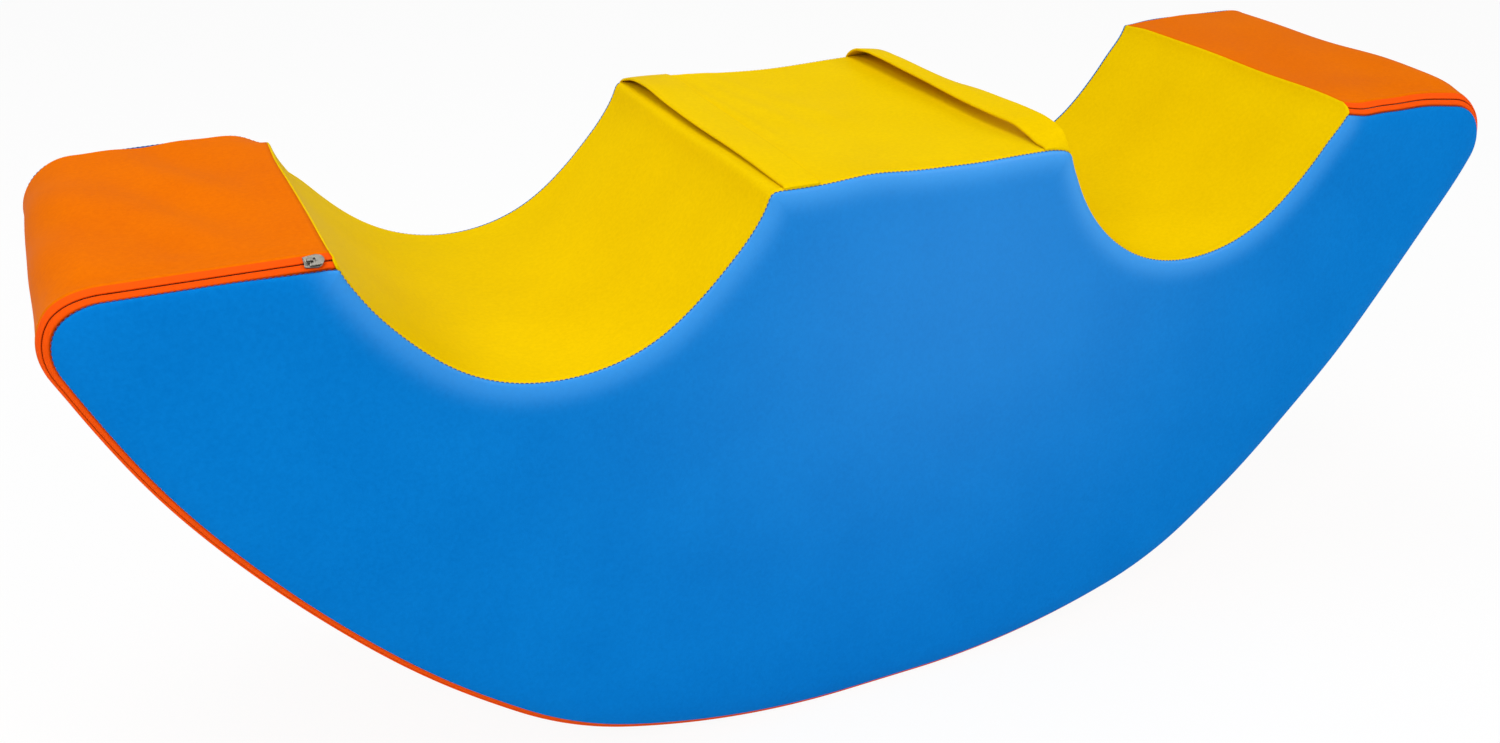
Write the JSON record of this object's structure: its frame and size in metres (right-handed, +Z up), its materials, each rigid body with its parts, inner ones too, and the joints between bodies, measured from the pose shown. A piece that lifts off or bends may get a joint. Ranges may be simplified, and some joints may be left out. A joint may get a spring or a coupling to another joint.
{
  "type": "two-seat soft play rocker",
  "caption": "Soft play rocker: a foam block with a curved belly and seat hollows, in a zipped vinyl cover of blue, yellow and orange with strap handles",
  "frame": {"origin": "on the floor, at the middle of the flat patch that the belly rests on", "axes": "+X along the rocker towards the right seat of the picture, +Y towards the side away from the zip, +Z up"},
  "size_m": [1.212, 0.312, 0.4977],
  "materials": {
    "foam": "matte",
    "blue_vinyl": "satin",
    "yellow_vinyl": "satin",
    "orange_vinyl": "satin",
    "zip_tape": "matte",
    "zip_coil": "satin",
    "zip_metal": "satin"
  },
  "bodies": {
    "rocker": {"foam_core": "foam", "front_side_panel": "blue_vinyl", "back_side_panel": "blue_vinyl", "belly_panel": "orange_vinyl", "seat_panel": "yellow_vinyl", "upper_zip_tape": "zip_tape", "lower_zip_tape": "zip_tape", "upper_zip_coil": "zip_coil", "lower_zip_coil": "zip_coil", "left_handle_front_leg": "yellow_vinyl", "left_handle_back_leg": "yellow_vinyl", "right_handle_front_leg": "yellow_vinyl", "right_handle_back_leg": "yellow_vinyl"},
    "left_handle": {"left_handle_grip": "yellow_vinyl"},
    "right_handle": {"right_handle_grip": "yellow_vinyl"},
    "zip_slider": {"zip_slider": "zip_metal"},
    "zip_pull": {"zip_pull_tab": "zip_metal"}
  },
  "joints": [
    {"name": "left_handle_lift", "type": "slide", "parent": "rocker", "child": "left_handle", "axis": [0, 0, 1], "range_m": [0, 0.018], "deforming": ["left_handle_front_leg", "left_handle_back_leg"]},
    {"name": "right_handle_lift", "type": "slide", "parent": "rocker", "child": "right_handle", "axis": [0, 0, 1], "range_m": [-0.008, 0.009], "deforming": ["right_handle_front_leg", "right_handle_back_leg"]},
    {"name": "zip_slide", "type": "slide", "parent": "rocker", "child": "zip_slider", "axis": [-1, 0, 0], "range_m": [0, 0.113]},
    {"name": "zip_pull_hinge", "type": "hinge", "parent": "zip_slider", "child": "zip_pull", "pos_m": [-0.44342, -0.15, 0.4793], "axis": [0, 0.7771, 0.6293], "range_deg": [-175, 0]}
  ]
}
